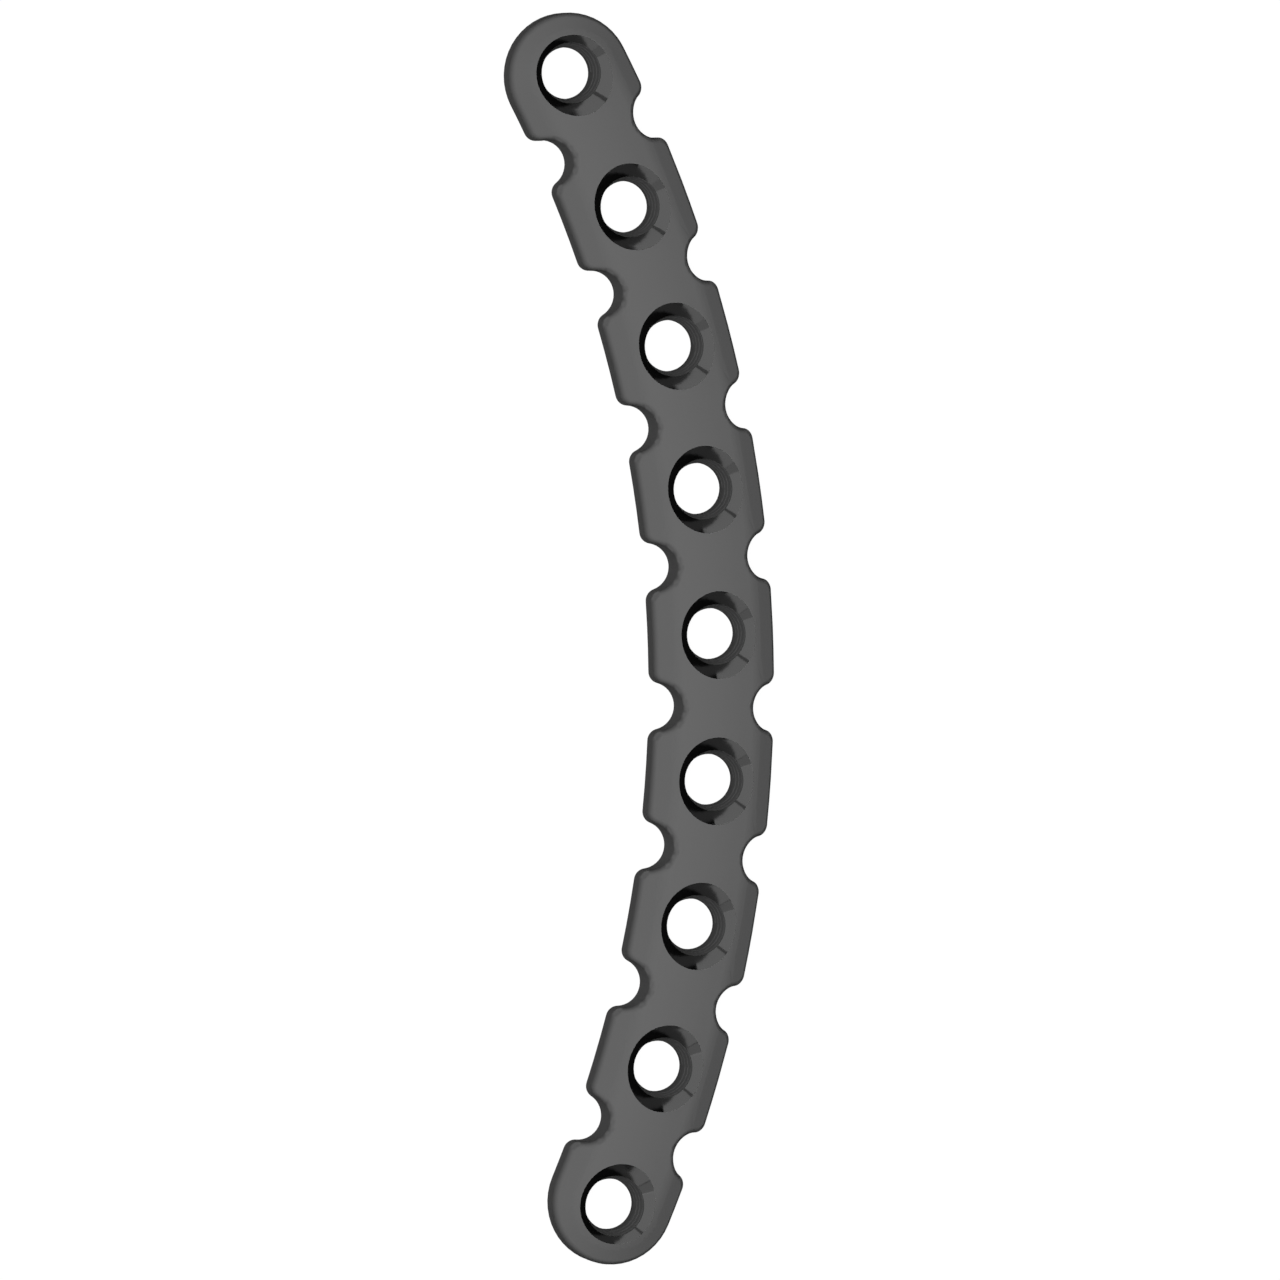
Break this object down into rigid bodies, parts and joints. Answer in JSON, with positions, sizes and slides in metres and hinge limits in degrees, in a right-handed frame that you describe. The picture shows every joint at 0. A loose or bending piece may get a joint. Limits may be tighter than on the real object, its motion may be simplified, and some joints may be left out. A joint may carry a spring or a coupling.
{
  "type": "orthopedic bone plate",
  "caption": "Slim plate curved in its own plane, with a crowned top, side notches between the holes and a row of countersunk screw holes for holding broken bone together.",
  "frame": {"origin": "middle of the bounding box, on the flat underside", "axes": "+Z out of the crowned top face, +Y along the chord from hole 9 to hole 1, +X to the outer side of the curve"},
  "size_m": [0.0208, 0.1028, 0.0036],
  "materials": {
    "anodised_metal": "matt dark grey anodised titanium alloy, blasted"
  },
  "bodies": {
    "root": {"bone_plate": "anodised_metal"}
  },
  "joints": []
}
